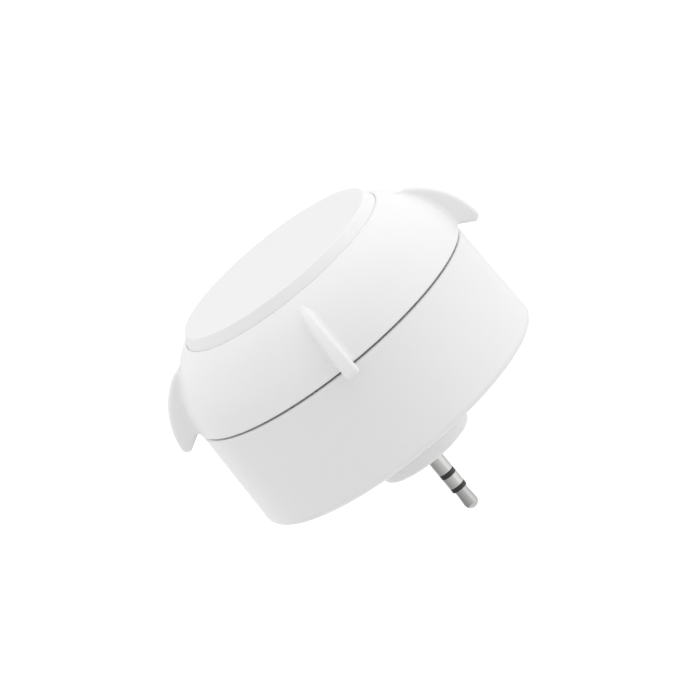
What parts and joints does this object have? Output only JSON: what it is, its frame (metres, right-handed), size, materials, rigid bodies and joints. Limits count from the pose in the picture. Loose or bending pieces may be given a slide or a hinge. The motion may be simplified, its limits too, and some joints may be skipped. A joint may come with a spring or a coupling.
{
  "type": "high bay motion sensor",
  "caption": "Round plug-in motion sensor with a flat lens, a domed twist-off cover with radial grips, a cup housing and a jack plug on its neck.",
  "frame": {"origin": "on the axis, in the housing's flat end, where the neck leaves it", "axes": "+Z along the axis towards the lens, the plug points to -Z; X and Y run through the cover's grips when it is locked"},
  "size_m": [0.0768, 0.0768, 0.0661],
  "materials": {
    "white_shell": "smooth moulded, soft gloss",
    "white_cover": "smooth moulded, soft gloss",
    "lens_white": "matte polyethylene, slightly translucent",
    "seal_rubber": "grey silicone",
    "inner_plastic": "moulded, matte",
    "board_green": "glass-fibre board with solder mask",
    "screw_steel": "zinc-plated",
    "can_metal": "nickel-plated can",
    "filter_dark": "dark coated filter",
    "led_clear": "clear resin",
    "pipe_clear": "clear moulded",
    "black_plastic": "moulded, matte",
    "chip_tan": "sintered chips",
    "capacitor_sleeve": "shrunk sleeve",
    "switch_blue": "moulded",
    "slider_white": "moulded",
    "lead_black": "insulated lead",
    "lead_red": "insulated lead",
    "lead_violet": "insulated lead",
    "plug_metal": "nickel-plated brass, bright"
  },
  "bodies": {
    "housing_body": {"housing": "white_shell", "cover_seal": "seal_rubber", "neck_seal": "seal_rubber", "main_board": "board_green", "settings_deck": "inner_plastic", "deck_screws": "screw_steel", "carrier_screws": "screw_steel", "pyro_sensor": "can_metal", "pyro_window": "filter_dark", "status_led": "led_clear", "light_pipe": "pipe_clear", "daylight_sensor": "led_clear", "remote_receiver": "black_plastic", "controller_chip": "black_plastic", "voltage_regulator": "black_plastic", "chip_parts": "chip_tan", "supply_capacitor": "capacitor_sleeve", "inductor": "black_plastic", "dip_switch": "switch_blue", "board_connector": "inner_plastic", "lead_plug": "inner_plastic", "ground_lead": "lead_black", "supply_lead": "lead_red", "dimming_lead": "lead_violet", "plug_carrier": "inner_plastic", "plug_tip": "plug_metal", "tip_insulator": "black_plastic", "plug_ring": "plug_metal", "ring_insulator": "black_plastic", "plug_sleeve": "plug_metal"},
    "cover_body": {"twist_cover": "white_cover", "lens": "lens_white", "lens_seal": "seal_rubber", "lens_ring": "inner_plastic"},
    "slider_1": {"dip_slider_1": "slider_white"},
    "slider_2": {"dip_slider_2": "slider_white"},
    "slider_3": {"dip_slider_3": "slider_white"},
    "slider_4": {"dip_slider_4": "slider_white"}
  },
  "joints": [
    {"name": "cover_twist", "type": "hinge", "parent": "housing_body", "child": "cover_body", "pos_m": [0, 0, 0.0232], "axis": [0, 0, 1], "range_deg": [0, 25]},
    {"name": "slider_1_slide", "type": "slide", "parent": "housing_body", "child": "slider_1", "axis": [1, 0, 0], "range_m": [0, 0.0013]},
    {"name": "slider_2_slide", "type": "slide", "parent": "housing_body", "child": "slider_2", "axis": [1, 0, 0], "range_m": [0, 0.0013]},
    {"name": "slider_3_slide", "type": "slide", "parent": "housing_body", "child": "slider_3", "axis": [1, 0, 0], "range_m": [0, 0.0013]},
    {"name": "slider_4_slide", "type": "slide", "parent": "housing_body", "child": "slider_4", "axis": [1, 0, 0], "range_m": [0, 0.0013]}
  ]
}
